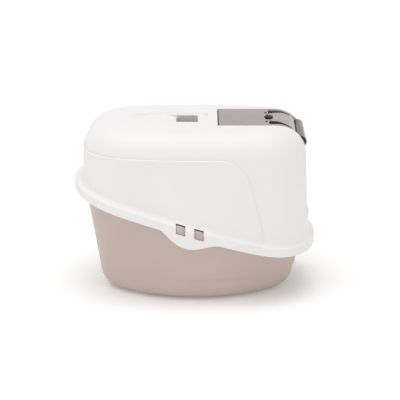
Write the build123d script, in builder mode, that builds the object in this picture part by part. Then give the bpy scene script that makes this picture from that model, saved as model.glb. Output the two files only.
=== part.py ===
from build123d import *
import math
import os

# Covered litter box: a deep tray, a clip-on hood with a smoked roof lid and a swinging smoked door, and a
# charcoal filter behind a slotted cover. Millimetres, +Z up, +X to the entrance end, origin on the floor at
# the middle of the box.

os.makedirs("parts", exist_ok=True)

# Overall size, over the rim and from the floor to the roof
overall_length = 570.0
overall_width = 390.0
overall_height = 410.0

# Plan outline of the rim, in arcs that run into each other: long sides, ends and corners
plan_side_radius = 850.0
plan_end_radius = 300.0
plan_corner_radius = 135.0

# The rim runs down towards the entrance and levels out in a smooth bend
rim_front_height = 113.5
rim_slope = 16.0
rim_level_length = 90.0
rim_bend = 25.0
rim_steps = 12
rim_points = 24
side_margin = 45.0

# Hood shell
hood_wall = 3.0
crown_radius = 66.0
hood_foot_height = 60.0
hood_foot_back_inset = 16.0
hood_foot_front_inset = 11.0
hood_foot_side_inset = 10.0
hood_draft = 1.8
hood_end_radius = 700.0

# Hood lip: an upright band with a sloping flange above it
lip_height = 20.5
flange_run = 24.5
flange_rise = 38.0

# Clip apron: the lip dips down round the two clip windows on each long side
apron_back = -82.0
apron_front = 60.0
apron_foot = -20.0
apron_depth = 27.5
apron_shoulder_reach = 35.0
apron_shoulder_depth = 17.0
apron_height = 60.0
window_width = 21.5
window_height = 23.0
window_pitch = 42.5
window_centre = -11.5
window_lift = 2.0
window_reach = 7.0

# Raised panels: a step on the hood's flank and one on the tray's, both lines run round a bend
panel_step = 1.2
hood_panel_drop = 60.0
hood_panel_corner = 113.0
hood_panel_lean = 14.5
hood_panel_bend = 60.0
tray_panel_height = 57.0
tray_panel_corner = -97.0
tray_panel_lean = 17.7
tray_panel_bend = 60.0

# Roof dish and hand hole
dish_back = -156.0
dish_front = 30.0
dish_half_width = 48.0
dish_depth = 6.0
dish_ramp_end = -70.0
dish_round = 20.0
hole_back = -44.0
hole_front = 7.0
hole_half_width = 35.0
hole_round = 7.0
collar_depth = 16.0
scoop_run = 17.0
scoop_depth = 11.0
scoop_backing = 6.0

# Opening for the lid and the door, one cut from the roof round to the sill
opening_back = 53.0
opening_half_width = 76.0
sill_height = 184.5
sill_round = 28.0
frame_depth = 22.0
frame_wall = 3.5

# Smoked lid, its features placed from the entrance end
lid_wall = 3.0
lid_side_gap = 0.6
lid_bead_radius = 5.3
lid_bead_gap = 1.7
lid_flat_setback = 95.0
lid_bend_radius = 60.0
lid_nose_angle = 42.0
lid_nose_setback = 49.0
lid_nose_round = 8.0
lid_nose_drop = 27.0
lid_seam_setback = 120.0
seam_width = 1.0
seam_depth = 0.6
finger_hole_setback = 111.5
finger_hole_length = 21.0
finger_hole_width = 47.0
slot_setback = 112.0
slot_length = 52.0
slot_inner_back = 31.0
slot_inner_front = 53.0
slot_outer = 62.0
slot_round = 3.0
catch_slot_width = 5.0
catch_slot_length = 13.0
catch_slot_gap = 3.0
seat_width = 5.0
seat_wall = 2.5
seat_gap = 0.3

# Pivot pins of the lid and of the door, and the sockets that they turn in
pin_radius = 3.0
pin_clearance = 0.05
pin_end_gap = 0.3
socket_wall = 3.0

# Smoked swing door
door_axis_setback = 39.0
door_axis_drop = 39.0
door_barrel_radius = 14.0
door_wall = 2.6
door_side_gap = 1.6
door_sill_gap = 2.5
door_rim_depth = 7.0
door_round = 26.0
door_flute_pitch = 12.0
door_flute_depth = 0.8
door_flute_width = 3.0

# Charcoal filter behind the back wall, its frame in the hood and its slotted cover
filter_drop = 88.0
filter_width = 140.0
filter_height = 58.0
filter_thickness = 10.0
filter_gap = 0.6
filter_setback = 54.0
filter_round = 8.0
filter_frame_wall = 3.0
filter_stop = 4.0
cover_wall = 2.4
cover_skirt = 9.0
cover_gap = 0.3
vent_width = 5.0
vent_pitch = 13.0
vent_count = 9
vent_height = 40.0

# Tray
tray_wall = 3.0
tray_floor = 3.6
tray_foot_round = 40.0
tray_foot_back_inset = 67.0
tray_foot_front_inset = 58.0
tray_foot_side_inset = 62.0
tray_draft = 9.5
tray_top_height = 290.0
tray_flange_wall = 3.0
rim_side_gap = 0.6
rim_seat_gap = 0.3
foot_recess = 1.2
foot_ring_width = 8.0
hook_gap = 1.2
hook_depth = 9.0

half_length = overall_length / 2
half_width = overall_width / 2
roof_inside = overall_height - hood_wall
# reach of blocks that cut or keep right across the box
far = overall_length

# Heights hang from the roof, lengths run back from the entrance end or forwards from the back
hood_panel_height = overall_height - hood_panel_drop
lid_flat_end = half_length - lid_flat_setback
lid_nose_reach = half_length - lid_nose_setback
lid_nose_bottom = overall_height - lid_nose_drop
lid_seam = half_length - lid_seam_setback
finger_hole_centre = half_length - finger_hole_setback
slot_back = half_length - slot_setback
slot_front = slot_back + slot_length
door_axis_x = half_length - door_axis_setback
door_axis_z = overall_height - door_axis_drop
filter_height_centre = overall_height - filter_drop
filter_face = filter_setback - half_length


def plan_face(height, back_inset, front_inset, side_inset, rim_end_radius=plan_end_radius):
    """Plan outline at a height, drawn in from the rim by its own amount at the back, front and sides."""
    back = half_length - back_inset
    front = half_length - front_inset
    side = half_width - side_inset
    centre = (front - back) / 2
    reach = (front + back) / 2
    side_radius = plan_side_radius - side_inset
    end_radius = rim_end_radius - side_inset
    corner_radius = plan_corner_radius - side_inset
    # centre of a corner arc, from its distances to the centres of the side arc and of the end arc
    side_centre = Vector(0, side - side_radius)
    end_centre = Vector(reach - end_radius, 0)
    between = end_centre - side_centre
    to_side = side_radius - corner_radius
    to_end = end_radius - corner_radius
    along = (between.length**2 + to_side**2 - to_end**2) / (2 * between.length)
    across = math.sqrt(to_side**2 - along**2)
    ahead = between.normalized()
    corner_centre = side_centre + ahead * along + Vector(ahead.Y, -ahead.X) * across
    side_end = corner_centre + (corner_centre - side_centre).normalized() * corner_radius
    end_start = corner_centre + (corner_centre - end_centre).normalized() * corner_radius
    bisector = (side_end - corner_centre + end_start - corner_centre).normalized()
    corner_middle = corner_centre + bisector * corner_radius
    with BuildSketch(Plane.XY.offset(height)) as outline:
        with BuildLine():
            for sign in (-1, 1):
                ThreePointArc(
                    (centre - side_end.X, sign * side_end.Y),
                    (centre, sign * side),
                    (centre + side_end.X, sign * side_end.Y),
                )
                ThreePointArc(
                    (centre + sign * end_start.X, end_start.Y),
                    (centre + sign * reach, 0),
                    (centre + sign * end_start.X, -end_start.Y),
                )
                for end in (-1, 1):
                    ThreePointArc(
                        (centre + end * side_end.X, sign * side_end.Y),
                        (centre + end * corner_middle.X, sign * corner_middle.Y),
                        (centre + end * end_start.X, sign * end_start.Y),
                    )
        make_face()
    return outline.sketch


def rim_face(inset):
    """Rim outline on the floor as one smooth closed curve, drawn in by inset."""
    outline = plan_face(0, inset, inset, inset).wire()
    with BuildSketch(Plane.XY) as smooth:
        with BuildLine():
            Spline(*[outline.position_at(step / rim_points) for step in range(rim_points)], periodic=True)
        make_face()
    return smooth.sketch


def rim_height(x):
    """Height of the lip's lower edge: a straight slope that eases into a level front."""
    level_start = half_length - rim_level_length
    return rim_front_height + math.tan(math.radians(rim_slope)) * rim_bend * math.log1p(
        math.exp((level_start - x) / rim_bend)
    )


def side_region(lift):
    """Side view of all that lies below the rim line raised by lift."""
    reach = half_length + side_margin
    points = []
    for step in range(rim_steps + 1):
        x = -reach + 2 * reach * step / rim_steps
        points.append((x, rim_height(x) + lift))
    with BuildSketch(Plane.XZ) as region:
        with BuildLine():
            upper = Spline(*points)
            Polyline(upper @ 1, (reach, -side_margin), (-reach, -side_margin), upper @ 0)
        make_face()
    return region.sketch


def apron_region():
    """Side view of the clip apron, a rounded dip of the lip's lower edge."""
    left = apron_foot - apron_shoulder_reach
    right = apron_foot + apron_shoulder_reach
    along_rim = (1, -math.tan(math.radians(rim_slope)))
    with BuildSketch(Plane.XZ) as region:
        with BuildLine():
            dip = Spline(
                (apron_back, rim_height(apron_back)),
                (left, rim_height(left) - apron_shoulder_depth),
                (apron_foot, rim_height(apron_foot) - apron_depth),
                (right, rim_height(right) - apron_shoulder_depth),
                (apron_front, rim_height(apron_front)),
                tangents=[along_rim, along_rim],
            )
            Polyline(
                dip @ 1,
                (apron_front, rim_height(apron_front) + apron_height),
                (apron_back, rim_height(apron_back) + apron_height),
                dip @ 0,
            )
        make_face()
    return region.sketch


def hood_body(inset):
    """Solid hood without its lip, drawn in by inset all over."""
    with BuildPart() as body:
        extrude(
            plan_face(
                hood_foot_height,
                hood_foot_back_inset + inset,
                hood_foot_front_inset + inset,
                hood_foot_side_inset + inset,
                hood_end_radius,
            ),
            amount=overall_height - inset - hood_foot_height,
            taper=hood_draft,
        )
        fillet(body.faces().sort_by(Axis.Z)[-1].edges(), crown_radius - inset)
    return body.part


def rim_body(inset, drop):
    """Solid lip and sloping flange under the rim line, with its outer upper edge chamfered."""
    with BuildPart() as rim:
        extrude(rim_face(inset), amount=overall_height)
        extrude(
            side_region(lip_height + flange_rise - drop), amount=far, both=True, mode=Mode.INTERSECT
        )
        top = rim.faces().filter_by(lambda face: face.normal_at().Z > 0.5).sort_by(Axis.Z)[-1]
        chamfer(top.edges(), length=flange_run, length2=flange_rise, reference=top)
    return rim.part


def panel_region(height, corner, lean, bend, towards_front):
    """Side view of a raised panel: a level line and a leaning line joined by a bend."""
    reach = half_length + side_margin
    sign = 1 if towards_front else -1
    foot = corner + sign * math.tan(math.radians(lean)) * height
    head = corner - sign * math.tan(math.radians(lean)) * (overall_height - height)
    with BuildSketch(Plane.XZ) as region:
        with BuildLine():
            if towards_front:
                FilletPolyline((-reach, height), (corner, height), (foot, 0), radius=bend)
                Polyline((foot, 0), (-reach, 0), (-reach, height))
            else:
                FilletPolyline((head, overall_height), (corner, height), (reach, height), radius=bend)
                Polyline((reach, height), (reach, overall_height), (head, overall_height))
        make_face()
    return region.sketch


def opening_outline(margin):
    """Front view of the doorway, open at the top, grown by margin."""
    half = opening_half_width + margin
    foot = sill_height - margin
    with BuildSketch(Plane.YZ) as outline:
        with Locations((0, (foot + overall_height + side_margin) / 2)):
            RectangleRounded(2 * half, overall_height + side_margin - foot, sill_round + margin)
    return outline.sketch


def opening_tool(margin):
    """Solid that cuts the roof opening and the doorway in one, grown by margin."""
    back = opening_back - margin
    half = opening_half_width + margin
    roof_depth = frame_depth + crown_radius
    with BuildPart() as tool:
        extrude(opening_outline(margin), amount=half_length + side_margin)
        with BuildSketch(Plane.XY.offset(overall_height - roof_depth)):
            with Locations(((back + far) / 2, 0)):
                Rectangle(far - back, 2 * half)
        extrude(amount=roof_depth + side_margin)
        split(bisect_by=Plane.YZ.offset(back), keep=Keep.TOP)
    return tool.part


def window_centres():
    """Both clip windows of one side, as places along the box."""
    return [window_centre + side * window_pitch / 2 for side in (-1, 1)]


def sloped_window(centre, margin, top_margin):
    """Side view of one clip window, whose upper and lower edges follow the rim's slope."""
    half = window_width / 2 + margin
    left = centre - half
    right = centre + half
    with BuildSketch(Plane.XZ) as outline:
        with BuildLine():
            Polyline(
                (left, rim_height(left) + window_lift - margin),
                (right, rim_height(right) + window_lift - margin),
                (right, rim_height(right) + window_lift + window_height + top_margin),
                (left, rim_height(left) + window_lift + window_height + top_margin),
                close=True,
            )
        make_face()
    return outline.sketch


def dish_outline(margin):
    """Plan of the roof dish: pointed at the back, wide and round at the front."""
    half = dish_half_width + margin
    with BuildSketch(Plane.XY) as outline:
        with BuildLine():
            Spline(
                (dish_back - margin, 0),
                (dish_ramp_end, half),
                tangents=[(0.5, 1), (1, 0)],
            )
            FilletPolyline(
                (dish_ramp_end, half),
                (dish_front + margin, half),
                (dish_front + margin, 0),
                radius=dish_round,
            )
            mirror(about=Plane.XZ)
        make_face()
    return outline.sketch


def dish_floor(drop):
    """Side view of the space above the dish's floor, which ramps down and then runs level."""
    floor = overall_height - dish_depth - drop
    with BuildSketch(Plane.XZ) as region:
        with BuildLine():
            Polyline(
                (dish_back - side_margin, overall_height - drop),
                (dish_back, overall_height - drop),
                (dish_ramp_end, floor),
                (dish_front + side_margin, floor),
                (dish_front + side_margin, overall_height + side_margin),
                (dish_back - side_margin, overall_height + side_margin),
                close=True,
            )
        make_face()
    return region.sketch


# Lid and door share their side gaps, pins and sockets with the opening
lid_axis_x = opening_back + lid_bead_gap + lid_bead_radius
lid_axis_z = overall_height - lid_bead_radius
lid_half_width = opening_half_width - lid_side_gap
door_half_width = opening_half_width - door_side_gap
socket_radius = pin_radius + pin_clearance
pin_reach = opening_half_width + frame_wall - pin_end_gap
dish_level = overall_height - dish_depth
hole_middle = (hole_back + hole_front) / 2
hole_length = hole_front - hole_back
seat_back = lid_axis_x + lid_bead_radius + lid_bead_gap
seat_middle = opening_half_width - (seat_width - frame_wall) / 2
nose_turn = math.radians(lid_nose_angle)
nose_drop = math.pi / 2 - nose_turn
nose_corner_x = lid_flat_end + lid_bend_radius * math.tan(nose_turn / 2)
nose_corner_z = overall_height - (lid_nose_reach - nose_corner_x) * math.tan(nose_turn)
door_axis = Axis((door_axis_x, 0, door_axis_z), (0, 1, 0))
door_flute_count = int(2 * door_half_width / door_flute_pitch)
filter_frame_half = filter_width / 2 + filter_gap + filter_frame_wall
filter_frame_height = filter_height + 2 * (filter_gap + filter_frame_wall)


def filter_block(width, height, corner, start, end):
    """Rounded block standing between two places along the box, at the filter's height."""
    with BuildPart() as block:
        with BuildSketch(Plane.YZ.offset(start)):
            with Locations((0, filter_height_centre)):
                RectangleRounded(width, height, corner)
        extrude(amount=end - start)
    return block.part


# Hood
seat_drop = hood_wall * (math.hypot(flange_run, flange_rise) - flange_rise) / flange_run
with BuildPart() as hood_outside:
    add(hood_body(0))
    add(rim_body(0, 0))
with BuildPart() as hood_flank:
    add(hood_body(-panel_step))
    extrude(
        panel_region(hood_panel_height, hood_panel_corner, hood_panel_lean, hood_panel_bend, True),
        amount=far,
        both=True,
        mode=Mode.INTERSECT,
    )
with BuildPart() as hood_inside:
    add(hood_body(hood_wall))
    add(rim_body(hood_wall, seat_drop))
with BuildPart() as opening_frame:
    add(hood_body(hood_wall / 2))
    add(hood_body(frame_depth), mode=Mode.SUBTRACT)
    add(opening_tool(frame_wall), mode=Mode.INTERSECT)
with BuildPart() as filter_frame:
    add(
        filter_block(
            2 * filter_frame_half,
            filter_frame_height,
            filter_round + filter_frame_wall,
            -half_length,
            filter_face,
        )
    )
    add(hood_body(hood_wall / 2), mode=Mode.INTERSECT)
    add(
        filter_block(
            filter_width + 2 * filter_gap,
            filter_height + 2 * filter_gap,
            filter_round,
            filter_face - filter_thickness - filter_gap,
            filter_face,
        ),
        mode=Mode.SUBTRACT,
    )
    add(
        filter_block(
            filter_width - 2 * filter_stop,
            filter_height - 2 * filter_stop,
            filter_round - filter_stop,
            -half_length,
            filter_face,
        ),
        mode=Mode.SUBTRACT,
    )

with BuildPart() as dish_pan:
    extrude(dish_outline(hood_wall), amount=overall_height)
    extrude(dish_floor(hood_wall), amount=far, both=True, mode=Mode.INTERSECT)
with BuildPart() as dish:
    extrude(dish_outline(0), amount=far)
    extrude(dish_floor(0), amount=far, both=True, mode=Mode.INTERSECT)

with BuildPart() as hood:
    add(hood_outside.part)
    add(hood_flank.part)
    add(hood_inside.part, mode=Mode.SUBTRACT)
    extrude(side_region(0) - apron_region(), amount=far, both=True, mode=Mode.SUBTRACT)
    add(dish_pan.part)
    add(opening_frame.part)
    add(filter_frame.part)
    # collar round the hand hole, and the backing of the finger scoop behind it
    with BuildSketch(Plane.XY.offset(dish_level)):
        with Locations((hole_middle, 0)):
            RectangleRounded(
                hole_length + 2 * hood_wall,
                2 * (hole_half_width + hood_wall),
                hole_round + hood_wall,
            )
    extrude(amount=-collar_depth)
    with BuildSketch(Plane.XZ):
        with BuildLine():
            Polyline(
                (hole_back - scoop_run - scoop_backing, dish_level - hood_wall / 2),
                (hole_back, dish_level - hood_wall / 2),
                (hole_back, dish_level - collar_depth),
                close=True,
            )
        make_face()
    extrude(amount=hole_half_width + hood_wall, both=True)
    # ears that carry the door's pins
    for side in (-1, 1):
        with BuildSketch(Plane.XZ.offset(-side * opening_half_width)):
            with Locations((door_axis_x, door_axis_z)):
                Circle(socket_radius + socket_wall)
        extrude(amount=-side * frame_wall)
    # opening for the lid and the door, then the ledges along it that the lid lies on
    add(opening_tool(0), mode=Mode.SUBTRACT)
    for side in (-1, 1):
        with BuildSketch(Plane.XY.offset(roof_inside - seat_gap)):
            with Locations(((seat_back + lid_seam) / 2, side * seat_middle)):
                Rectangle(lid_seam - seat_back, seat_width + frame_wall)
        extrude(amount=-seat_wall)
    # dish and hand hole
    add(dish.part, mode=Mode.SUBTRACT)
    with BuildSketch(Plane.XY.offset(overall_height)):
        with Locations((hole_middle, 0)):
            RectangleRounded(hole_length, 2 * hole_half_width, hole_round)
    extrude(amount=-2 * frame_depth, mode=Mode.SUBTRACT)
    # finger scoop, a ramp from the dish down into the hand hole
    with BuildSketch(Plane.XZ):
        with BuildLine():
            Polyline(
                (hole_back - scoop_run, overall_height),
                (hole_back - scoop_run, dish_level),
                (hole_back, dish_level - scoop_depth),
                (hole_back + hole_round, dish_level - scoop_depth),
                (hole_back + hole_round, overall_height),
                close=True,
            )
        make_face()
    extrude(amount=hole_half_width, both=True, mode=Mode.SUBTRACT)
    # sockets for the pins of the lid and the door
    for axis_x, axis_z in ((lid_axis_x, lid_axis_z), (door_axis_x, door_axis_z)):
        with BuildSketch(Plane.XZ):
            with Locations((axis_x, axis_z)):
                Circle(socket_radius)
        extrude(amount=opening_half_width + frame_wall, both=True, mode=Mode.SUBTRACT)
    # clip windows through the lip on both sides
    for centre in window_centres():
        for side in (-1, 1):
            extrude(
                sloped_window(centre, 0, 0).moved(Location((0, side * half_width, 0))),
                amount=window_reach,
                both=True,
                mode=Mode.SUBTRACT,
            )
    # vent slots through the back wall, behind the filter
    with BuildSketch(Plane.YZ.offset(-half_length)):
        with Locations((0, filter_height_centre)):
            with GridLocations(vent_pitch, 0, vent_count, 1):
                SlotOverall(vent_height, vent_width, rotation=90)
    extrude(amount=half_length + filter_face - filter_thickness, mode=Mode.SUBTRACT)
hood.part.label = "hood"
export_step(hood.part, "parts/hood.step")

# Smoked lid: a flat panel with a rolled hinge bead at the back and a nose that turns down at the front
with BuildPart() as top_lid:
    with BuildSketch(Plane.XZ) as lid_section:
        with BuildLine():
            outer = FilletPolyline(
                (lid_axis_x, overall_height),
                (nose_corner_x, overall_height),
                (lid_nose_reach, nose_corner_z),
                (lid_nose_reach, lid_nose_bottom),
                radius=[lid_bend_radius, lid_nose_round],
            )
            inner = FilletPolyline(
                (lid_nose_reach - lid_wall, lid_nose_bottom),
                (lid_nose_reach - lid_wall, nose_corner_z - lid_wall * math.tan(nose_drop / 2)),
                (nose_corner_x - lid_wall * math.tan(nose_turn / 2), overall_height - lid_wall),
                (lid_axis_x, overall_height - lid_wall),
                radius=[lid_nose_round - lid_wall, lid_bend_radius - lid_wall],
            )
            Line(outer @ 1, inner @ 0)
            Line(inner @ 1, outer @ 0)
        make_face()
        with Locations((lid_axis_x, lid_axis_z)):
            Circle(lid_bead_radius)
    extrude(amount=lid_half_width, both=True)
    with BuildSketch(Plane.XZ):
        with Locations((lid_axis_x, lid_axis_z)):
            Circle(pin_radius)
    extrude(amount=pin_reach, both=True)
    with BuildSketch(Plane.XY.offset(overall_height)):
        with Locations((finger_hole_centre, 0)):
            Ellipse(finger_hole_length / 2, finger_hole_width / 2)
        with Locations((slot_back - catch_slot_gap - catch_slot_width / 2, 0)):
            with GridLocations(0, slot_inner_back + slot_outer - catch_slot_length, 1, 2):
                SlotOverall(catch_slot_length, catch_slot_width, rotation=90)
    extrude(amount=-2 * lid_wall, mode=Mode.SUBTRACT)
    for side in (-1, 1):
        with BuildSketch(Plane.XY.offset(overall_height)):
            with BuildLine():
                Polyline(
                    (slot_back, side * slot_inner_back),
                    (slot_front, side * slot_inner_front),
                    (slot_front, side * slot_outer),
                    (slot_back, side * slot_outer),
                    close=True,
                )
            slot = make_face()
            fillet(slot.vertices(), slot_round)
        extrude(amount=-lid_bend_radius / 2, mode=Mode.SUBTRACT)
    with BuildSketch(Plane.XY.offset(overall_height)):
        with Locations((lid_seam, 0)):
            Rectangle(seam_width, 2 * lid_half_width)
    extrude(amount=-seam_depth, mode=Mode.SUBTRACT)
top_lid.part.label = "top_lid"
export_step(top_lid.part, "parts/top_lid.step")

# Smoked swing door: a rimmed panel that hangs straight down from a thick fluted hinge barrel
door_foot = sill_height + door_sill_gap
with BuildPart() as swing_door:
    with BuildSketch(Plane.YZ.offset(door_axis_x - door_rim_depth / 2)):
        with BuildLine():
            door_edge = FilletPolyline(
                (-door_half_width, door_axis_z),
                (-door_half_width, door_foot),
                (door_half_width, door_foot),
                (door_half_width, door_axis_z),
                radius=door_round,
            )
            Line(door_edge @ 1, door_edge @ 0)
        make_face()
    extrude(amount=door_rim_depth)
    for side in (-1, 1):
        with BuildSketch(Plane.YZ.offset(door_axis_x + side * door_wall / 2)):
            with BuildLine():
                rim_edge = FilletPolyline(
                    (-door_half_width + door_wall, door_axis_z),
                    (-door_half_width + door_wall, door_foot + door_wall),
                    (door_half_width - door_wall, door_foot + door_wall),
                    (door_half_width - door_wall, door_axis_z),
                    radius=door_round - door_wall,
                )
                Line(rim_edge @ 1, rim_edge @ 0)
            make_face()
        extrude(amount=side * door_rim_depth, mode=Mode.SUBTRACT)
    with BuildSketch(Plane.XZ):
        with Locations((door_axis_x, door_axis_z)):
            Circle(door_barrel_radius)
    extrude(amount=door_half_width, both=True)
    with BuildSketch(Plane.XZ):
        with Locations((door_axis_x, door_axis_z)):
            Circle(pin_radius)
    extrude(amount=pin_reach, both=True)
    with BuildSketch(Plane.XY):
        with Locations((door_axis_x + door_barrel_radius, 0)):
            with GridLocations(0, door_flute_pitch, 1, door_flute_count):
                Rectangle(2 * door_flute_depth, door_flute_width)
    revolve(axis=door_axis, mode=Mode.SUBTRACT)
swing_door.part.label = "swing_door"
export_step(swing_door.part, "parts/swing_door.step")

# Charcoal pad and the slotted cover that clips over its frame
with BuildPart() as carbon_filter:
    add(
        filter_block(
            filter_width,
            filter_height,
            filter_round - filter_gap,
            filter_face - filter_thickness - filter_gap / 2,
            filter_face - filter_gap / 2,
        )
    )
carbon_filter.part.label = "carbon_filter"
export_step(carbon_filter.part, "parts/carbon_filter.step")

cover_grow = cover_gap + cover_wall
with BuildPart() as filter_cover:
    add(
        filter_block(
            2 * (filter_frame_half + cover_grow),
            filter_frame_height + 2 * cover_grow,
            filter_round + filter_frame_wall + cover_grow,
            filter_face - cover_skirt,
            filter_face + cover_grow,
        )
    )
    add(
        filter_block(
            2 * (filter_frame_half + cover_gap),
            filter_frame_height + 2 * cover_gap,
            filter_round + filter_frame_wall + cover_gap,
            filter_face - cover_skirt,
            filter_face + cover_gap,
        ),
        mode=Mode.SUBTRACT,
    )
    with BuildSketch(Plane.YZ.offset(filter_face)):
        with Locations((0, filter_height_centre)):
            with GridLocations(vent_pitch, 0, vent_count, 1):
                SlotOverall(vent_height, vent_width, rotation=90)
    extrude(amount=cover_grow, mode=Mode.SUBTRACT)
filter_cover.part.label = "filter_cover"
export_step(filter_cover.part, "parts/filter_cover.step")


def tray_body(inset, foot_height):
    """Solid tray up to its top station, drawn in by inset, with a rounded foot."""
    drawn_in = inset - foot_height * math.tan(math.radians(tray_draft))
    with BuildPart() as body:
        extrude(
            plan_face(
                foot_height,
                tray_foot_back_inset + drawn_in,
                tray_foot_front_inset + drawn_in,
                tray_foot_side_inset + drawn_in,
            ),
            amount=tray_top_height - foot_height,
            taper=-tray_draft,
        )
        fillet(body.faces().sort_by(Axis.Z)[0].edges(), tray_foot_round - inset)
    return body.part


# Tray: deep pan, raised flank panel, rim flange under the hood's lip, and four snap hooks
slant = math.hypot(flange_run, flange_rise)
slope_loss = flange_rise / math.cos(math.radians(rim_slope)) - flange_rise
flange_top = lip_height - slope_loss - seat_drop + (rim_side_gap * flange_rise - rim_seat_gap * slant) / flange_run
flange_inset = hood_wall + rim_side_gap
with BuildPart() as tray_flank:
    add(tray_body(-panel_step, 0))
    extrude(
        panel_region(tray_panel_height, tray_panel_corner, tray_panel_lean, tray_panel_bend, False),
        amount=far,
        both=True,
        mode=Mode.INTERSECT,
    )
with BuildPart() as tray_flange:
    extrude(rim_face(flange_inset), amount=tray_top_height)
    extrude(side_region(flange_top - tray_flange_wall), amount=far, both=True, mode=Mode.SUBTRACT)
hook_top_gap = flange_top - window_lift - window_height - rim_seat_gap
with BuildPart() as tray_hooks:
    for centre in window_centres():
        for side in (-1, 1):
            extrude(
                sloped_window(centre, -hook_gap, hook_top_gap).moved(Location((0, side * half_width, 0))),
                amount=side * (flange_inset + hook_depth),
            )
    extrude(rim_face(flange_inset), amount=overall_height, mode=Mode.INTERSECT)
with BuildPart() as base_tray:
    add(tray_body(0, 0))
    add(tray_flank.part)
    add(tray_flange.part)
    extrude(side_region(flange_top), amount=far, both=True, mode=Mode.INTERSECT)
    add(tray_hooks.part)
    add(tray_body(tray_wall, tray_floor), mode=Mode.SUBTRACT)
    recess_inset = tray_foot_round + foot_ring_width
    extrude(
        plan_face(
            0,
            tray_foot_back_inset + recess_inset,
            tray_foot_front_inset + recess_inset,
            tray_foot_side_inset + recess_inset,
        ),
        amount=foot_recess,
        mode=Mode.SUBTRACT,
    )
base_tray.part.label = "base_tray"
export_step(base_tray.part, "parts/base_tray.step")
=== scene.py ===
import math

import bmesh
import bpy
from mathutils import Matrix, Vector


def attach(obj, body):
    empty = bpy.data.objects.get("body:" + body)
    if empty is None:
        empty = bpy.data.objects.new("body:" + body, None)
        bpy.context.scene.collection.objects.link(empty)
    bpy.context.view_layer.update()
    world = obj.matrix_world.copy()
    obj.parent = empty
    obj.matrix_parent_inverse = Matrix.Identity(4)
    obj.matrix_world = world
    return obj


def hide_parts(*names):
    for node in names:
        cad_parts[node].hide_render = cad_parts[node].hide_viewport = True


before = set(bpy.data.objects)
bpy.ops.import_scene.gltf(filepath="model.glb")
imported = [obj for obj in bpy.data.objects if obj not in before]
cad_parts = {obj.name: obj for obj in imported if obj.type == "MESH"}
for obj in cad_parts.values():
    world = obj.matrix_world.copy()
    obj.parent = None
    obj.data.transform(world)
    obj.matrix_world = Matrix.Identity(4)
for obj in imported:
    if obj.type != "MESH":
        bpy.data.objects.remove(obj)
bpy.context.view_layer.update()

bpy.ops.object.select_all(action="DESELECT")


# The tray: the deep warm-grey pan that holds the litter. It is moulded in one shot of polypropylene, with
# drafted walls that run round a soft foot, a step pressed into its flank, a flange round the rim that the
# hood's lip closes over, and four snap hooks that show in the lip's windows.
mm = 0.001

rim_half_length = 285 * mm
rim_half_width = 195 * mm
rim_side_radius = 850 * mm
rim_end_radius = 300 * mm
rim_corner_radius = 135 * mm
side_columns = 40
corner_columns = 28
end_columns = 14

rim_front_height = 113.5 * mm
rim_slope = math.tan(math.radians(16))
rim_bend = 25 * mm
rim_level_start = 195 * mm

tray_foot_insets = (67 * mm, 58 * mm, 50 * mm)
tray_side_radius = 350 * mm
tray_draft = math.radians(9.5)
tray_foot_round = 50 * mm
tray_wall = 3 * mm
tray_floor = 3.6 * mm
tray_recess_inset = 60 * mm
tray_recess_depth = 1.2 * mm
tray_step = 2.6 * mm
tray_step_height = 57 * mm
tray_step_corner = -89 * mm
tray_step_lean = math.radians(21)
tray_step_bend = 73 * mm
step_slope = 1.3 * mm
tray_flange_inset = 3.6 * mm
tray_flange_top = 18 * mm
tray_flange_wall = 3 * mm
tray_meeting_rounds = 4
arc_steps = 14
weld_distance = 0.02 * mm

window_width = 21.5 * mm
window_height = 23 * mm
window_lift = 2 * mm
window_centres = (-32.75 * mm, 9.75 * mm)
hook_gap = 1.2 * mm
hook_top_gap = 3.4 * mm
hook_ramp_height = 5 * mm
hook_ramp_depth = 5 * mm
hook_face_inset = 4.4 * mm
hook_depth = 9 * mm
hook_edge_round = 0.7 * mm
hook_edge_segments = 3
hook_smooth_angle = 25
tray_edge_round = 0.5 * mm
shell_smooth_angle = 35


def plan_columns(back_inset, front_inset, side_inset, rim_end=rim_end_radius, rim_side=rim_side_radius):
    """Places round the rim outline in plan, drawn in by an amount at each side, with outward normals."""
    back = rim_half_length - back_inset
    front = rim_half_length - front_inset
    side = rim_half_width - side_inset
    centre = (front - back) / 2
    reach = (front + back) / 2
    side_radius = rim_side - side_inset
    end_radius = rim_end - side_inset
    corner_radius = rim_corner_radius - side_inset
    side_centre = Vector((0, side - side_radius))
    end_centre = Vector((reach - end_radius, 0))
    between = end_centre - side_centre
    to_side = side_radius - corner_radius
    to_end = end_radius - corner_radius
    along = (between.length_squared + to_side**2 - to_end**2) / (2 * between.length)
    across = math.sqrt(to_side**2 - along**2)
    ahead = between.normalized()
    corner_centre = side_centre + ahead * along + Vector((ahead.y, -ahead.x)) * across
    side_turn = math.atan2(*(corner_centre - side_centre).yx)
    end_turn = math.atan2(*(corner_centre - end_centre).yx)
    arcs = (
        (end_centre, end_radius, 0, end_turn, end_columns),
        (corner_centre, corner_radius, end_turn, side_turn, corner_columns),
        (side_centre, side_radius, side_turn, math.pi / 2, side_columns),
    )
    quarter = []
    for middle, radius, start, stop, columns in arcs:
        for step in range(columns):
            turn = start + (stop - start) * step / columns
            normal = Vector((math.cos(turn), math.sin(turn)))
            quarter.append((middle + radius * normal, normal))
    half = quarter + [(Vector((0, side)), Vector((0, 1)))]
    for place, normal in reversed(quarter):
        half.append((Vector((-place.x, place.y)), Vector((-normal.x, normal.y))))
    whole = list(half)
    for place, normal in reversed(half[1:-1]):
        whole.append((Vector((place.x, -place.y)), Vector((normal.x, -normal.y))))
    return [(place + Vector((centre, 0)), normal) for place, normal in whole]


def rim_height(x):
    """Height of the lip's lower edge: a straight slope that eases into a level front."""
    return rim_front_height + rim_slope * rim_bend * math.log1p(math.exp((rim_level_start - x) / rim_bend))


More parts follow.
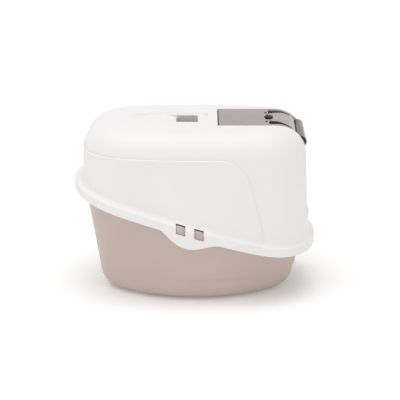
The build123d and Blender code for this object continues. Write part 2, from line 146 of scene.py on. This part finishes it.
def ledge_departure(distance, lean, radius):
    """How far a pressed ledge has left its level, at a distance past the corner where it turns to lean."""
    reach = radius * math.tan((math.pi / 2 - lean) / 2)
    if distance <= -reach:
        return 0
    if distance < reach * math.sin(lean):
        return radius - math.sqrt(radius**2 - (distance + reach) ** 2)
    return distance / math.tan(lean)


def rounded_turn(before, corner, after, radius, steps=6):
    """Places round a turn of a path: an arc that touches both of the corner's sides."""
    back = (before - corner).normalized()
    ahead = (after - corner).normalized()
    half = back.angle(ahead) / 2
    centre = corner + (back + ahead).normalized() * radius / math.sin(half)
    first = corner + back * radius / math.tan(half) - centre
    last = corner + ahead * radius / math.tan(half) - centre
    return [centre + first.slerp(last, step / steps) * radius for step in range(steps + 1)]


def lifted(place, height):
    """A place in plan, raised to a height."""
    return (place.x, place.y, height)


def column_solid(name, profiles):
    """Closed body through one profile a column: rings are extruded in turn and both ends are filled."""
    rings = list(zip(*profiles))
    bpy.ops.mesh.primitive_circle_add(vertices=len(profiles), radius=1, fill_type="NOTHING")
    piece = bpy.context.object
    piece.name = name
    piece.data.name = name
    bpy.ops.object.mode_set(mode="EDIT")
    bpy.ops.mesh.select_mode(type="EDGE")
    bpy.ops.mesh.select_all(action="SELECT")
    for number, ring in enumerate(rings):
        if number:
            bpy.ops.mesh.extrude_edges_move()
        skin = bmesh.from_edit_mesh(piece.data)
        fresh = [vertex for vertex in skin.verts if vertex.select]
        for vertex, place in zip(fresh, ring):
            vertex.co = place
        bmesh.update_edit_mesh(piece.data)
    bpy.ops.mesh.edge_face_add()
    skin = bmesh.from_edit_mesh(piece.data)
    for edge in skin.edges:
        edge.select_set(edge.is_boundary)
    bmesh.update_edit_mesh(piece.data)
    bpy.ops.mesh.edge_face_add()
    bpy.ops.mesh.select_all(action="SELECT")
    bpy.ops.mesh.remove_doubles(threshold=weld_distance)
    bpy.ops.mesh.normals_make_consistent(inside=False)
    bpy.ops.object.mode_set(mode="OBJECT")
    piece.select_set(False)
    return piece


def outline_block(name, outline, start, end, across=(0, 1, 0)):
    """Block with a flat outline of places, extruded between two distances along its own direction."""
    direction = Vector(across)
    bpy.ops.mesh.primitive_circle_add(vertices=len(outline), radius=1, fill_type="NGON")
    piece = bpy.context.object
    piece.name = name
    piece.data.name = name
    for vertex, place in zip(piece.data.vertices, outline):
        vertex.co = Vector(place) + direction * start
    bpy.ops.object.mode_set(mode="EDIT")
    bpy.ops.mesh.select_all(action="SELECT")
    bpy.ops.mesh.extrude_region_move(TRANSFORM_OT_translate={"value": direction * (end - start)})
    bpy.ops.mesh.select_all(action="SELECT")
    bpy.ops.mesh.normals_make_consistent(inside=False)
    bpy.ops.object.mode_set(mode="OBJECT")
    piece.select_set(False)
    return piece


def apply_boolean(piece, other, operation):
    """Joins, cuts or intersects a piece with another body, which then goes."""
    bpy.context.view_layer.objects.active = piece
    boolean = piece.modifiers.new("shape", "BOOLEAN")
    boolean.operation = operation
    boolean.solver = "EXACT"
    boolean.object = other
    bpy.ops.object.modifier_apply(modifier=boolean.name)
    bpy.data.objects.remove(other)


def soften(piece, width, angle, segments=2):
    """Rounds a piece's edges and smooths its faces."""
    bpy.context.view_layer.objects.active = piece
    piece.select_set(True)
    bevel = piece.modifiers.new("round", "BEVEL")
    bevel.width = width
    bevel.segments = segments
    bevel.limit_method = "ANGLE"
    bevel.angle_limit = math.radians(angle)
    bpy.ops.object.modifier_apply(modifier=bevel.name)
    bpy.ops.object.shade_smooth_by_angle(angle=math.radians(angle))
    piece.select_set(False)


rim_columns = plan_columns(0, 0, 0)
tray_columns = plan_columns(*tray_foot_insets, rim_side=tray_side_radius)


def tray_profile(place, normal, rim_place, rim_normal):
    """One column of the tray, from the middle of its underside out, up over the flange and down inside."""
    lean = math.tan(tray_draft)
    points = [
        lifted(place - normal * tray_recess_inset, tray_recess_depth),
        lifted(place - normal * tray_recess_inset, 0),
    ]
    middle = -tray_foot_round * (1 - math.sin(tray_draft)) / math.cos(tray_draft)
    for step in range(arc_steps + 1):
        turn = (math.pi / 2 - tray_draft) * step / arc_steps
        outward = middle + tray_foot_round * math.sin(turn)
        points.append(lifted(place + normal * outward, tray_foot_round * (1 - math.cos(turn))))
    # The wall leans and the rim slopes, so the height where they meet is found in a few rounds
    under = tray_foot_round
    for settle in range(tray_meeting_rounds):
        under = rim_height((place + normal * under * lean).x) + tray_flange_top - tray_flange_wall
    station = (place + normal * under * lean).x
    rise = ledge_departure(tray_step_corner - station, tray_step_lean, tray_step_bend)
    line = min(tray_step_height + rise, under)
    proud = tray_step if line < under - step_slope else 0
    points.append(lifted(place + normal * line * lean, line))
    upper = min(line + step_slope, under)
    points.append(lifted(place + normal * (upper * lean + proud), upper))
    points.append(lifted(place + normal * (under * lean + proud), under))
    edge = rim_place - rim_normal * tray_flange_inset
    bottom = rim_height(edge.x) + tray_flange_top - tray_flange_wall
    points.append(lifted(edge, bottom))
    points.append(lifted(edge, bottom + tray_flange_wall))
    inner = place + normal * ((under + tray_flange_wall) * lean - tray_wall)
    points.append(lifted(inner, under + tray_flange_wall))
    inner_round = tray_foot_round - tray_wall
    middle_height = tray_floor + inner_round
    middle = middle_height * lean - tray_wall - inner_round / math.cos(tray_draft)
    for step in reversed(range(arc_steps + 1)):
        turn = (math.pi / 2 - tray_draft) * step / arc_steps
        outward = middle + inner_round * math.sin(turn)
        points.append(lifted(place + normal * outward, middle_height - inner_round * math.cos(turn)))
    return points


tray = column_solid(
    "tray_shell",
    [
        tray_profile(place, normal, rim_place, rim_normal)
        for (place, normal), (rim_place, rim_normal) in zip(tray_columns, rim_columns)
    ],
)
for centre in window_centres:
    for side in (-1, 1):
        face = side * (rim_half_width - hook_face_inset)
        ramp_end = face - side * hook_ramp_depth
        root = face - side * hook_depth
        hook_start = centre - window_width / 2 + hook_gap
        low = rim_height(hook_start) + window_lift + hook_gap
        high = rim_height(hook_start) + window_lift + window_height - hook_top_gap
        hook = outline_block(
            "hook",
            [
                (hook_start, face, low),
                (hook_start, face, high - hook_ramp_height),
                (hook_start, ramp_end, high),
                (hook_start, root, high),
                (hook_start, root, low),
            ],
            0,
            window_width - 2 * hook_gap,
            (1, 0, -rim_slope),
        )
        soften(hook, hook_edge_round, hook_smooth_angle, hook_edge_segments)
        hook.select_set(True)
        tray.select_set(True)
        bpy.context.view_layer.objects.active = tray
        bpy.ops.object.join()
        tray.select_set(False)
soften(tray, tray_edge_round, shell_smooth_angle)

flow_size = 90 * mm
spark_size = 0.9 * mm
spark_height = 0.05 * mm
polish_gain = 0.05
polish_loss = 0.07
mix_first = 6
mix_second = 7
mix_result = 2


def linear(colour):
    """An sRGB hex colour as a linear colour with full alpha."""
    values = [int(colour[start : start + 2], 16) / 255 for start in (0, 2, 4)]
    return tuple(v / 12.92 if v <= 0.04045 else ((v + 0.055) / 1.055) ** 2.4 for v in values) + (1.0,)


def add_node(material, kind, settings=None, **links):
    """Adds a node, sets its values by input or property name, and links its inputs to outputs."""
    node = material.node_tree.nodes.new(kind)
    for name, value in (settings or {}).items():
        if name in node.inputs:
            node.inputs[name].default_value = value
        else:
            setattr(node, name, value)
    for name, output in links.items():
        material.node_tree.links.new(output, node.inputs[name.replace("_", " ")])
    return node


def moulded_plastic(name, colour, shade, roughness, grain):
    """Injection-moulded plastic: near-even colour with a faint flow shade, and a fine spark-eroded grain."""
    material = bpy.data.materials.new(name)
    material.use_nodes = True
    material.node_tree.nodes.clear()
    place = add_node(material, "ShaderNodeTexCoord")
    flow = add_node(
        material,
        "ShaderNodeTexNoise",
        {"Scale": 1 / flow_size, "Detail": 3.0, "Roughness": 0.5},
        Vector=place.outputs["Object"],
    )
    tone = add_node(material, "ShaderNodeMix", {"data_type": "RGBA"})
    tone.inputs[mix_first].default_value = linear(colour)
    tone.inputs[mix_second].default_value = linear(shade)
    material.node_tree.links.new(flow.outputs["Fac"], tone.inputs[0])
    spark = add_node(
        material,
        "ShaderNodeTexNoise",
        {"Scale": 1 / spark_size, "Detail": 2.0},
        Vector=place.outputs["Object"],
    )
    wear = add_node(
        material,
        "ShaderNodeMapRange",
        {"To Min": roughness - polish_gain, "To Max": roughness + polish_loss},
        Value=flow.outputs["Fac"],
    )
    bump = add_node(
        material,
        "ShaderNodeBump",
        {"Strength": grain, "Distance": spark_height},
        Height=spark.outputs["Fac"],
    )
    shader = add_node(
        material,
        "ShaderNodeBsdfPrincipled",
        {"IOR": 1.49},
        Normal=bump.outputs["Normal"],
        Roughness=wear.outputs["Result"],
    )
    material.node_tree.links.new(tone.outputs[mix_result], shader.inputs["Base Color"])
    add_node(material, "ShaderNodeOutputMaterial", Surface=shader.outputs["BSDF"])
    return material


# Warm grey polypropylene: a soft earthy tone with a slow change of shade, and a broad dull shine on the flank
tray_plastic = moulded_plastic("polypropylene_warm_grey", "C7B7AE", "C1B1A8", 0.42, 0.12)
tray.data.materials.clear()
tray.data.materials.append(tray_plastic)
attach(tray, "tray")
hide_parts("base_tray")


# The hood: the white upper shell, moulded in polypropylene. Its crown is one large round, the flank has a
# proud panel, the skirt flares over a sloping flange into an upright lip, and the lip dips into a clip apron
# with two windows a side. The roof has a shallow dish with the hand hole, and one opening for lid and door.
hood_foot_insets = (16 * mm, 11 * mm, 10 * mm)
hood_end_radius = 700 * mm
hood_foot_height = 60 * mm
hood_draft = math.radians(1.8)
hood_wall = 3 * mm
roof_height = 410 * mm
crown_round = 66 * mm
crown_steps = 20
lip_height = 20 * mm
lip_edge_round = 0.9 * mm
flange_slope = math.tan(math.radians(22))
flange_fillet = 15 * mm
lip_round = 3.5 * mm
hood_step = 2.4 * mm
hood_step_slope = 1.8 * mm
hood_step_height = 354 * mm
hood_step_corner = 113 * mm
hood_step_lean = math.radians(14.5)
hood_step_bend = 75 * mm
hood_meeting_rounds = 6
hood_edge_round = 0.4 * mm
apron_line = (
    (-82 * mm, 0, 0),
    (-55 * mm, 17 * mm, 0.6),
    (-20 * mm, 27.5 * mm, 0),
    (15 * mm, 17 * mm, -0.48),
    (60 * mm, 0, 0),
)
opening_back = 53 * mm
opening_half_width = 76 * mm
sill_height = 184.5 * mm
sill_round = 28 * mm
frame_depth = 22 * mm
frame_wall = 3.5 * mm

hood_columns = plan_columns(*hood_foot_insets, hood_end_radius)


def apron_height(x):
    """Height of the lip's lower edge with the clip apron's rounded dip."""
    for (start, dip, slope), (end, next_dip, next_slope) in zip(apron_line, apron_line[1:]):
        if start <= x < end:
            part = (x - start) / (end - start)
            blend = 3 * part**2 - 2 * part**3
            lead = (part**3 - 2 * part**2 + part) * slope + (part**3 - part**2) * next_slope
            return rim_height(x) - dip - (next_dip - dip) * blend - (end - start) * lead
    return rim_height(x)


def crown_arc(place, normal, inset):
    """Places up the crown's round, from the roof's flat edge down to the wall."""
    radius = crown_round - inset
    centre_height = roof_height - crown_round
    rise = centre_height - hood_foot_height
    outward = -rise * math.tan(hood_draft) - inset - radius / math.cos(hood_draft)
    points = []
    for step in range(crown_steps + 1):
        turn = math.pi / 2 + (hood_draft - math.pi / 2) * step / crown_steps
        reach = place + normal * (outward + radius * math.cos(turn))
        points.append(lifted(reach, centre_height + radius * math.sin(turn)))
    return points


def wall_place(place, normal, height, outward):
    """Place on the hood's drafted wall at a height, moved outwards."""
    return place + normal * (outward - (height - hood_foot_height) * math.tan(hood_draft))


def hood_profile(place, normal, rim_place, rim_normal):
    """One column of the hood, from the edge of the roof's flat down over the lip and up inside."""
    points = crown_arc(place, normal, 0)
    proud = hood_step
    joint = hood_foot_height
    for settle in range(hood_meeting_rounds):
        foot = wall_place(place, normal, joint, proud)
        inset = (rim_place - foot).dot(rim_normal)
        joint = rim_height(foot.x) + lip_height + inset * flange_slope
        fall = ledge_departure(foot.x - hood_step_corner, hood_step_lean, hood_step_bend)
        line = max(hood_step_height - fall, joint + flange_fillet + hood_step_slope)
        proud = hood_step if line > joint + 2 * flange_fillet else 0
    lower = line - hood_step_slope
    points.append(lifted(wall_place(place, normal, line, 0), line))
    points.append(lifted(wall_place(place, normal, lower, proud), lower))
    low = apron_height(rim_place.x)
    lip_inner = rim_place - rim_normal * hood_wall
    wall_foot = Vector(lifted(foot, joint))
    lip_top = Vector(lifted(rim_place, rim_height(rim_place.x) + lip_height))
    lip_foot = Vector(lifted(rim_place, low + lip_edge_round))
    points += rounded_turn(Vector(points[-1]), wall_foot, lip_top, flange_fillet)
    points += rounded_turn(wall_foot, lip_top, lip_foot, lip_round)
    points.append(lip_foot)
    points.append(lifted(rim_place - rim_normal * lip_edge_round, low))
    points.append(lifted(lip_inner, low))
    thinned = hood_wall * (math.hypot(1, flange_slope) - flange_slope)
    inner_level = rim_height(lip_inner.x) + lip_height - thinned
    points.append(lifted(lip_inner, inner_level))
    inner_joint = joint
    for settle in range(hood_meeting_rounds):
        foot = wall_place(place, normal, inner_joint, -hood_wall)
        inset = (lip_inner - foot).dot(rim_normal)
        inner_joint = rim_height(foot.x) + lip_height - thinned + inset * flange_slope
    crown = list(reversed(crown_arc(place, normal, hood_wall)))
    inner_foot = Vector(lifted(foot, inner_joint))
    inner_lip = Vector(points[-1])
    points += rounded_turn(inner_lip, inner_foot, Vector(crown[0]), flange_fillet + hood_wall)
    return points + crown


hood = column_solid(
    "hood_shell",
    [
        hood_profile(place, normal, rim_place, rim_normal)
        for (place, normal), (rim_place, rim_normal) in zip(hood_columns, rim_columns)
    ],
)


def rounded_corner(centre_x, centre_z, radius, start, steps=10):
    """Places round a quarter turn, as pairs."""
    turns = [start + math.pi / 2 * step / steps for step in range(steps + 1)]
    return [(centre_x + radius * math.cos(turn), centre_z + radius * math.sin(turn)) for turn in turns]


def opening_block(margin):
    """Block that fills the opening for the lid and the door, grown by margin."""
    half = opening_half_width + margin
    foot = sill_height - margin
    radius = sill_round + margin
    arcs = rounded_corner(-half + radius, foot + radius, radius, math.pi)
    arcs += rounded_corner(half - radius, foot + radius, radius, 1.5 * math.pi)
    outline = [(0, y, z) for y, z in arcs]
    outline += [(0, half, roof_height + hood_wall), (0, -half, roof_height + hood_wall)]
    return outline_block("opening", outline, opening_back - margin, rim_half_length, (1, 0, 0))


def hood_core(name, inset):
    """Solid hood without its skirt, drawn in all over."""
    foot = sill_height - crown_round
    return column_solid(
        name,
        [
            crown_arc(place, normal, inset) + [lifted(wall_place(place, normal, foot, -inset), foot)]
            for place, normal in hood_columns
        ],
    )


def rounded_box(name, low, high, radius, along):
    """Block from corner to corner, rounded at the four edges that run along one axis."""
    first, second = [axis for axis in range(3) if axis != along]
    places = []
    corners = ((high, high, 0), (low, high, 1), (low, low, 2), (high, low, 3))
    for first_end, second_end, quarter in corners:
        inward = (-1 if first_end is high else 1, -1 if second_end is high else 1)
        centre_first = first_end[first] + inward[0] * radius
        centre_second = second_end[second] + inward[1] * radius
        for pair in rounded_corner(centre_first, centre_second, radius, quarter * math.pi / 2):
            place = [0, 0, 0]
            place[first], place[second] = pair
            places.append(place)
    direction = [0, 0, 0]
    direction[along] = 1
    return outline_block(name, places, low[along], high[along], direction)


along_box = 0
upright = 2

dish_back = -156 * mm
dish_front = 30 * mm
dish_half_width = 48 * mm
dish_depth = 5 * mm
dish_flare = 9 * mm
dish_ramp_end = -70 * mm
dish_round = 20 * mm
dish_point_ahead = 0.447
dish_point_across = 0.894
dish_sweep_steps = 24
dish_corner_steps = 8
hole_back = -44 * mm
hole_front = 7 * mm
hole_half_width = 35 * mm
hole_round = 7 * mm
collar_depth = 16 * mm
scoop_run = 17 * mm
scoop_depth = 5.5 * mm
scoop_backing = 6 * mm
overcut = 5 * mm


def dish_block(name, margin, drop, top):
    """Block shaped as the roof's dish: its floor ramps down from a point at the back, then runs level."""
    stations = []
    reach = dish_ramp_end - dish_back
    lead = math.hypot(reach, dish_half_width)
    for step in range(1, dish_sweep_steps + 1):
        part = step / dish_sweep_steps
        cubic = 3 * part**2 - 2 * part**3
        leaving = part**3 - 2 * part**2 + part
        arriving = part**3 - part**2
        x = dish_back + cubic * reach + lead * (dish_point_ahead * leaving + arriving)
        half = cubic * dish_half_width + lead * dish_point_across * leaving
        stations.append((x - margin * (1 - part), half + margin))
    radius = dish_round + margin
    for step in range(dish_corner_steps + 1):
        turn = math.pi / 2 * step / dish_corner_steps
        x = dish_front + margin - radius * (1 - math.sin(turn))
        stations.append((x, dish_half_width + margin - radius * (1 - math.cos(turn))))
    corners = []
    for x, half in stations:
        fall = min(max((x - dish_back) / reach, 0), 1) * dish_depth
        base = half - dish_flare * min(half / dish_half_width, 1)
        corners.append([(x, half, top), (x, base, -fall - drop), (x, -base, -fall - drop), (x, -half, top)])
    lift = Vector((0, 0, roof_height))
    rings = [[Vector(place) + lift for place in ring] for ring in corners]
    return column_solid(name, list(zip(*rings)))


opening_frame = hood_core("opening_frame", hood_wall / 2)
apply_boolean(opening_frame, hood_core("core", frame_depth), "DIFFERENCE")
apply_boolean(opening_frame, opening_block(frame_wall), "INTERSECT")
apply_boolean(hood, opening_frame, "UNION")
apply_boolean(hood, dish_block("dish_pan", hood_wall, hood_wall, -hood_wall / 2), "UNION")
collar = rounded_box(
    "collar",
    (hole_back - hood_wall, -hole_half_width - hood_wall, roof_height - dish_depth - collar_depth),
    (hole_front + hood_wall, hole_half_width + hood_wall, roof_height - dish_depth - hood_wall / 3),
    hole_round + hood_wall,
    upright,
)
apply_boolean(hood, collar, "UNION")
dish_level = roof_height - dish_depth
scoop_wall = outline_block(
    "scoop_wall",
    [
        (hole_back - scoop_run - scoop_backing, 0, dish_level - hood_wall / 2),
        (hole_back, 0, dish_level - hood_wall / 2),
        (hole_back, 0, dish_level - collar_depth),
    ],
    -hole_half_width - hood_wall,
    hole_half_width + hood_wall,
)
apply_boolean(hood, scoop_wall, "UNION")

filter_centre = 322 * mm
filter_half_width = 73.6 * mm
filter_half_height = 32.6 * mm
filter_face = -231 * mm
filter_thickness = 10.6 * mm
filter_frame_wall = 3 * mm
filter_stop = 4.6 * mm
filter_round = 11 * mm


def filter_block(name, inset, back, front):
    """Rounded block at the filter's place, drawn in all round."""
    return rounded_box(
        name,
        (back, -filter_half_width + inset, filter_centre - filter_half_height + inset),
        (front, filter_half_width - inset, filter_centre + filter_half_height - inset),
        filter_round - inset,
        along_box,
    )


filter_frame = filter_block("filter_frame", 0, -rim_half_length, filter_face)
apply_boolean(filter_frame, hood_core("core", hood_wall / 2), "INTERSECT")
pocket = filter_block("pocket", filter_frame_wall, filter_face - filter_thickness, filter_face + overcut)
apply_boolean(filter_frame, pocket, "DIFFERENCE")
window = filter_block("window", filter_frame_wall + filter_stop, -rim_half_length, filter_face + overcut)
apply_boolean(filter_frame, window, "DIFFERENCE")
apply_boolean(hood, filter_frame, "UNION")

door_axis = (246 * mm, 371 * mm)
lid_axis = (60 * mm, 404.7 * mm)
socket_radius = 3.05 * mm
ear_radius = 6.05 * mm
seat_start = 67 * mm
seat_end = 165 * mm
seat_top = 406.7 * mm
seat_wall = 2.5 * mm
seat_inner = 71 * mm


def round_bar(name, axis, radius, start, end, sides=48):
    """Round bar across the box about an axis."""
    turns = [2 * math.pi * step / sides for step in range(sides)]
    outline = [(axis[0] + radius * math.cos(turn), 0, axis[1] + radius * math.sin(turn)) for turn in turns]
    return outline_block(name, outline, start, end)


for side in (-1, 1):
    inner = side * opening_half_width
    apply_boolean(hood, round_bar("ear", door_axis, ear_radius, inner, inner + side * frame_wall), "UNION")
apply_boolean(hood, opening_block(0), "DIFFERENCE")
for side in (-1, 1):
    ledge = outline_block(
        "ledge",
        [
            (seat_start, 0, seat_top),
            (seat_end, 0, seat_top),
            (seat_end, 0, seat_top - seat_wall),
            (seat_start, 0, seat_top - seat_wall),
        ],
        side * seat_inner,
        side * (opening_half_width + frame_wall / 2),
    )
    apply_boolean(hood, ledge, "UNION")
apply_boolean(hood, dish_block("dish", 0, 0, overcut), "DIFFERENCE")
hand_hole = rounded_box(
    "hand_hole",
    (hole_back, -hole_half_width, roof_height - 2 * frame_depth),
    (hole_front, hole_half_width, roof_height + overcut),
    hole_round,
    upright,
)
apply_boolean(hood, hand_hole, "DIFFERENCE")
scoop = outline_block(
    "scoop",
    [
        (hole_back - scoop_run, 0, roof_height),
        (hole_back - scoop_run, 0, dish_level),
        (hole_back, 0, dish_level - scoop_depth),
        (hole_back + hole_round, 0, dish_level - scoop_depth),
        (hole_back + hole_round, 0, roof_height),
    ],
    -hole_half_width,
    hole_half_width,
)
apply_boolean(hood, scoop, "DIFFERENCE")
for axis in (lid_axis, door_axis):
    reach = opening_half_width + frame_wall
    apply_boolean(hood, round_bar("socket", axis, socket_radius, -reach, reach), "DIFFERENCE")
window_depth = 14 * mm


def sloped_outline(centre, half, low, high):
    """Side view of a block whose upper and lower edges follow the rim's slope."""
    left = centre - half
    right = centre + half
    return [
        (left, 0, rim_height(left) + low),
        (right, 0, rim_height(right) + low),
        (right, 0, rim_height(right) + high),
        (left, 0, rim_height(left) + high),
    ]


for centre in window_centres:
    for side in (-1, 1):
        window = outline_block(
            "window",
            sloped_outline(centre, window_width / 2, window_lift, window_lift + window_height),
            side * (rim_half_width - window_depth),
            side * (rim_half_width + overcut),
        )
        apply_boolean(hood, window, "DIFFERENCE")
vent_width = 5 * mm
vent_height = 40 * mm
vent_pitch = 13 * mm
vent_end_flat = 0.01 * mm
vent_count = 9
for number in range(vent_count):
    middle = (number - (vent_count - 1) / 2) * vent_pitch
    vent = rounded_box(
        "vent",
        (-rim_half_length, middle - vent_width / 2, filter_centre - vent_height / 2),
        (filter_face - filter_thickness, middle + vent_width / 2, filter_centre + vent_height / 2),
        vent_width / 2 - vent_end_flat,
        along_box,
    )
    apply_boolean(hood, vent, "DIFFERENCE")
soften(hood, hood_edge_round, shell_smooth_angle)

# White polypropylene: an even milky white with a soft satin shine, its grain only felt as a slight haze
hood_plastic = moulded_plastic("polypropylene_white", "EFEDED", "EBE9E9", 0.48, 0.1)
hood.data.materials.clear()
hood.data.materials.append(hood_plastic)
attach(hood, "hood")
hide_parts("hood")


# The lid and the door: both moulded in smoked see-through styrene. The lid is a flat panel that turns down at
# its nose and hinges on a rolled bead at its back; the door is a rimmed panel under a thick fluted barrel.
haze_size = 40 * mm
haze_spread = 0.04
ripple_strength = 0.15
ripple_height = 0.2 * mm


def smoked_plastic(name, tint, haze, cover, roughness):
    """Smoked see-through plastic: a tinted clear body, a little milky haze in it and a shiny moulded skin."""
    material = bpy.data.materials.new(name)
    material.use_nodes = True
    material.node_tree.nodes.clear()
    place = add_node(material, "ShaderNodeTexCoord")
    flow = add_node(
        material,
        "ShaderNodeTexNoise",
        {"Scale": 1 / haze_size, "Detail": 3.0},
        Vector=place.outputs["Object"],
    )
    amount = add_node(
        material,
        "ShaderNodeMapRange",
        {"To Min": cover - haze_spread, "To Max": cover + haze_spread},
        Value=flow.outputs["Fac"],
    )
    ripple = add_node(
        material,
        "ShaderNodeBump",
        {"Strength": ripple_strength, "Distance": ripple_height},
        Height=flow.outputs["Fac"],
    )
    clear = add_node(material, "ShaderNodeBsdfTransparent", {"Color": linear(tint)})
    milky = add_node(
        material,
        "ShaderNodeBsdfDiffuse",
        {"Color": linear(haze)},
        Normal=ripple.outputs["Normal"],
    )
    body = add_node(material, "ShaderNodeMixShader")
    material.node_tree.links.new(amount.outputs["Result"], body.inputs[0])
    material.node_tree.links.new(clear.outputs["BSDF"], body.inputs[1])
    material.node_tree.links.new(milky.outputs["BSDF"], body.inputs[2])
    skin = add_node(
        material,
        "ShaderNodeBsdfGlossy",
        {"Color": (1, 1, 1, 1), "Roughness": roughness},
        Normal=ripple.outputs["Normal"],
    )
    shine = add_node(material, "ShaderNodeFresnel", {"IOR": 1.5}, Normal=ripple.outputs["Normal"])
    whole = add_node(material, "ShaderNodeMixShader")
    material.node_tree.links.new(shine.outputs["Fac"], whole.inputs[0])
    material.node_tree.links.new(body.outputs["Shader"], whole.inputs[1])
    material.node_tree.links.new(skin.outputs["BSDF"], whole.inputs[2])
    add_node(material, "ShaderNodeOutputMaterial", Surface=whole.outputs["Shader"])
    return material


# Lightly smoked styrene: half clear and half milky, so the lid reads as a pale mauve pane over a dim inside
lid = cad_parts["top_lid"]
lid.data.materials.clear()
lid.data.materials.append(smoked_plastic("styrene_smoked_lid", "CDBBB9", "BBA7A5", 0.5, 0.12))
# Deeply smoked styrene: darker and clearer than the lid, so the panel and its barrel read as tinted, not milky
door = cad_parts["swing_door"]
door.data.materials.clear()
door.data.materials.append(smoked_plastic("styrene_smoked_door", "A89C9A", "4E4443", 0.35, 0.12))


# The filter: a charcoal foam pad that lies in a frame inside the back wall, under a slotted white cover.
# The pad is cut from open foam and only pressed in, and the cover clips over the frame by hand.
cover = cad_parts["filter_cover"]
cover.data.materials.clear()
cover.data.materials.append(hood_plastic)

# Charcoal foam: near black and fully matt, broken up by open cells a millimetre or two across, with painted
# shade that darkens the hollow of each cell
foam_cell_size = 1.6 * mm
foam_cell_depth = 0.8 * mm
charcoal = bpy.data.materials.new("foam_charcoal")
charcoal.use_nodes = True
charcoal.node_tree.nodes.clear()
foam_place = add_node(charcoal, "ShaderNodeTexCoord")
foam_cells = add_node(
    charcoal,
    "ShaderNodeTexVoronoi",
    {"Scale": 1 / foam_cell_size},
    Vector=foam_place.outputs["Object"],
)
# Painted shade: the colour goes darker towards the middle of each cell, where the bump sinks it into a hollow
foam_colour_and_pore_shade = add_node(charcoal, "ShaderNodeMix", {"data_type": "RGBA"})
foam_colour_and_pore_shade.inputs[mix_first].default_value = linear("151515")
foam_colour_and_pore_shade.inputs[mix_second].default_value = linear("2E2D2C")
charcoal.node_tree.links.new(foam_cells.outputs["Distance"], foam_colour_and_pore_shade.inputs[0])
foam_bump = add_node(
    charcoal,
    "ShaderNodeBump",
    {"Strength": 0.8, "Distance": foam_cell_depth},
    Height=foam_cells.outputs["Distance"],
)
foam_shader = add_node(
    charcoal,
    "ShaderNodeBsdfPrincipled",
    {"Roughness": 0.9},
    Normal=foam_bump.outputs["Normal"],
)
charcoal.node_tree.links.new(foam_colour_and_pore_shade.outputs[mix_result], foam_shader.inputs["Base Color"])
add_node(charcoal, "ShaderNodeOutputMaterial", Surface=foam_shader.outputs["BSDF"])
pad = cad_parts["carbon_filter"]
pad.data.materials.clear()
pad.data.materials.append(charcoal)


# The stage: a plain white floor that runs into a white surround, soft light from all round, a broad light
# from above and a faint fill from the near side, and the camera square to that side, looking a little down.
floor_size = 40
floor_colour = (0.93, 0.92, 0.915, 1)
floor_glow_strength = 0.14
seen_strength = 1.0
shed_strength = 0.6
shed_colour = (1, 0.995, 0.99, 1)
top_light_strength = 1.4
top_light_spread = math.radians(55)
top_light_turn = (math.radians(9), math.radians(-5), 0)
front_fill_strength = 0.12
front_fill_spread = math.radians(60)
front_fill_turn = (math.radians(80), 0, math.radians(-20))
camera_lens = 169.6
camera_film = 36
camera_place = (0.012, -4.2917, 1.5582)
camera_turn = (math.radians(72.5), 0, 0)

bpy.ops.mesh.primitive_grid_add(x_subdivisions=2, y_subdivisions=2, size=floor_size)
floor = bpy.context.object
floor.name = "floor"
floor.select_set(False)

# White floor: matt and almost white, with a little glow so that it fades into the surround but keeps shade
floor_white = bpy.data.materials.new("floor_white")
floor_white.use_nodes = True
floor_white.node_tree.nodes.clear()
floor_matt = add_node(floor_white, "ShaderNodeBsdfDiffuse", {"Color": floor_colour})
floor_glow = add_node(
    floor_white,
    "ShaderNodeEmission",
    {"Color": (1, 1, 1, 1), "Strength": floor_glow_strength},
)
floor_sum = add_node(floor_white, "ShaderNodeAddShader")
floor_white.node_tree.links.new(floor_matt.outputs["BSDF"], floor_sum.inputs[0])
floor_white.node_tree.links.new(floor_glow.outputs["Emission"], floor_sum.inputs[1])
add_node(floor_white, "ShaderNodeOutputMaterial", Surface=floor_sum.outputs["Shader"])
floor.data.materials.append(floor_white)

world = bpy.data.worlds.new("surround")
bpy.context.scene.world = world
world.use_nodes = True
world.node_tree.nodes.clear()
# The camera, reflections and see-through plastic meet full white; what lights the box is weaker
rays = add_node(world, "ShaderNodeLightPath")
seen = add_node(world, "ShaderNodeBackground", {"Color": (1, 1, 1, 1), "Strength": seen_strength})
shed = add_node(world, "ShaderNodeBackground", {"Color": shed_colour, "Strength": shed_strength})
through = add_node(world, "ShaderNodeMath", {"operation": "MAXIMUM"})
world.node_tree.links.new(rays.outputs["Is Camera Ray"], through.inputs[0])
world.node_tree.links.new(rays.outputs["Is Transmission Ray"], through.inputs[1])
direct = add_node(world, "ShaderNodeMath", {"operation": "MAXIMUM"})
world.node_tree.links.new(through.outputs["Value"], direct.inputs[0])
world.node_tree.links.new(rays.outputs["Is Glossy Ray"], direct.inputs[1])
surround = add_node(world, "ShaderNodeMixShader", Fac=direct.outputs["Value"])
world.node_tree.links.new(shed.outputs["Background"], surround.inputs[1])
world.node_tree.links.new(seen.outputs["Background"], surround.inputs[2])
add_node(world, "ShaderNodeOutputWorld", Surface=surround.outputs["Shader"])

bpy.ops.object.light_add(type="SUN", location=(-1, -1, 4))
top_light = bpy.context.object
top_light.name = "top_light"
top_light.data.energy = top_light_strength
top_light.data.angle = top_light_spread
top_light.rotation_euler = top_light_turn
top_light.select_set(False)
bpy.ops.object.light_add(type="SUN", location=(-1, -4, 1))
front_fill = bpy.context.object
front_fill.name = "front_fill"
front_fill.data.energy = front_fill_strength
front_fill.data.angle = front_fill_spread
front_fill.rotation_euler = front_fill_turn

camera_data = bpy.data.cameras.new("camera")
camera_data.lens = camera_lens
camera_data.sensor_width = camera_film
camera = bpy.data.objects.new("camera", camera_data)
bpy.context.scene.collection.objects.link(camera)
camera.location = camera_place
camera.rotation_euler = camera_turn
bpy.context.scene.camera = camera
bpy.context.scene.view_settings.view_transform = "Standard"
